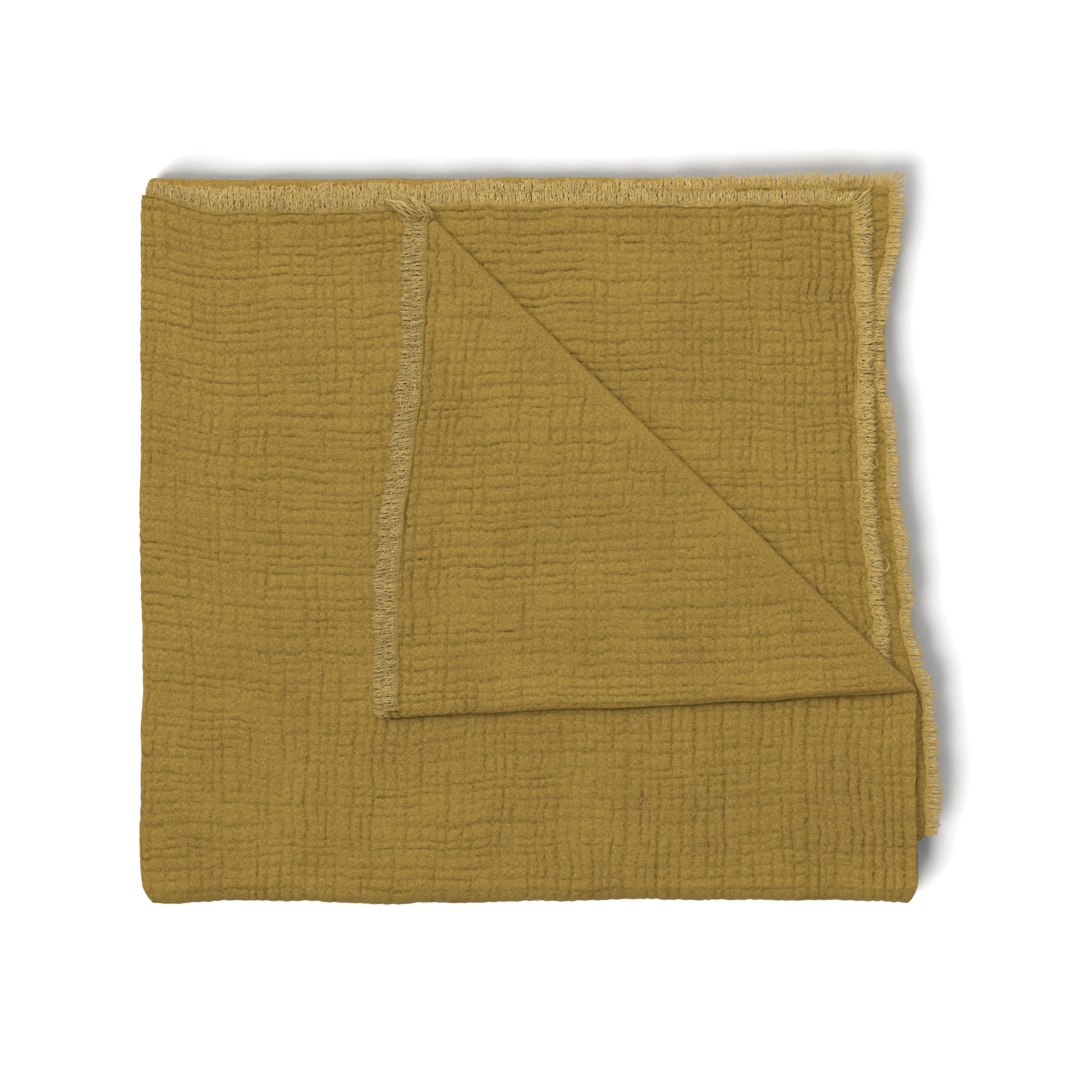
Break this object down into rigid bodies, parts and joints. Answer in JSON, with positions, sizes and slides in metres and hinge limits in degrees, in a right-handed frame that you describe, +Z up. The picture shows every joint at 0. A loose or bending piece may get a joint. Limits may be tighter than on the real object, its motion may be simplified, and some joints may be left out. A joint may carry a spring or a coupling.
{
  "type": "folded throw blanket",
  "caption": "Crinkled double-gauze cotton throw with frayed edges, folded flat in thirds with its top corner turned back.",
  "frame": {"origin": "centre of the folded stack's underside, where it rests on a surface", "axes": "+X to the right along the bottom crease, +Y away from the bottom crease towards the top crease, +Z up through the layers"},
  "size_m": [0.514, 0.4706, 0.0263],
  "materials": {
    "cotton_gauze": "matte",
    "frayed_yarn": "matte"
  },
  "bodies": {
    "root": {"back_panel_outer": "cotton_gauze", "back_panel_second": "cotton_gauze", "back_panel_third": "cotton_gauze", "back_panel_inner": "cotton_gauze", "tucked_panel_outer": "cotton_gauze", "tucked_panel_second": "cotton_gauze", "tucked_panel_third": "cotton_gauze", "tucked_panel_inner": "cotton_gauze", "back_left_crease_outer": "cotton_gauze", "back_left_crease_inner": "cotton_gauze", "back_right_crease": "cotton_gauze", "back_side_fringe_third": "frayed_yarn", "back_side_fringe_inner": "frayed_yarn", "tucked_left_crease_outer": "cotton_gauze", "tucked_left_crease_inner": "cotton_gauze", "tucked_right_crease": "cotton_gauze", "tucked_side_fringe_third": "frayed_yarn", "tucked_side_fringe_inner": "frayed_yarn", "tucked_end_fringe_outer": "frayed_yarn", "tucked_end_fringe_second": "frayed_yarn", "tucked_end_fringe_third": "frayed_yarn", "tucked_end_fringe_inner": "frayed_yarn", "top_crease_outer": "cotton_gauze", "top_crease_second": "cotton_gauze", "top_crease_third": "cotton_gauze", "top_crease_inner": "cotton_gauze", "bottom_crease_outer": "cotton_gauze", "bottom_crease_second": "cotton_gauze", "bottom_crease_third": "cotton_gauze", "bottom_crease_inner": "cotton_gauze"},
    "front_fold": {"front_panel_outer": "cotton_gauze", "front_panel_second": "cotton_gauze", "front_panel_third": "cotton_gauze", "front_panel_inner": "cotton_gauze", "front_top_fringe_outer": "frayed_yarn", "front_top_fringe_second": "frayed_yarn", "front_top_fringe_third": "frayed_yarn", "front_top_fringe_inner": "frayed_yarn", "front_side_fringe_third": "frayed_yarn", "front_side_fringe_inner": "frayed_yarn", "front_left_crease_outer": "cotton_gauze", "front_left_crease_inner": "cotton_gauze", "front_right_crease": "cotton_gauze", "diagonal_crease_outer": "cotton_gauze", "diagonal_crease_second": "cotton_gauze"},
    "turned_corner": {"corner_panel_outer": "cotton_gauze", "corner_panel_second": "cotton_gauze", "corner_side_crease": "cotton_gauze", "corner_fringe_outer": "frayed_yarn", "corner_fringe_second": "frayed_yarn"}
  },
  "joints": [
    {"name": "front_fold_opening", "type": "hinge", "parent": "root", "child": "front_fold", "pos_m": [0, -0.23131, 0.01315], "axis": [1, 0, 0], "range_deg": [0, 180], "deforming": ["bottom_crease_outer", "bottom_crease_second", "bottom_crease_third", "bottom_crease_inner"]},
    {"name": "corner_turning", "type": "hinge", "parent": "front_fold", "child": "turned_corner", "pos_m": [0.0858, 0.05518, 0.02265], "axis": [-0.7179, 0.6962, 0], "range_deg": [0, 180], "deforming": ["diagonal_crease_outer", "diagonal_crease_second"]}
  ]
}
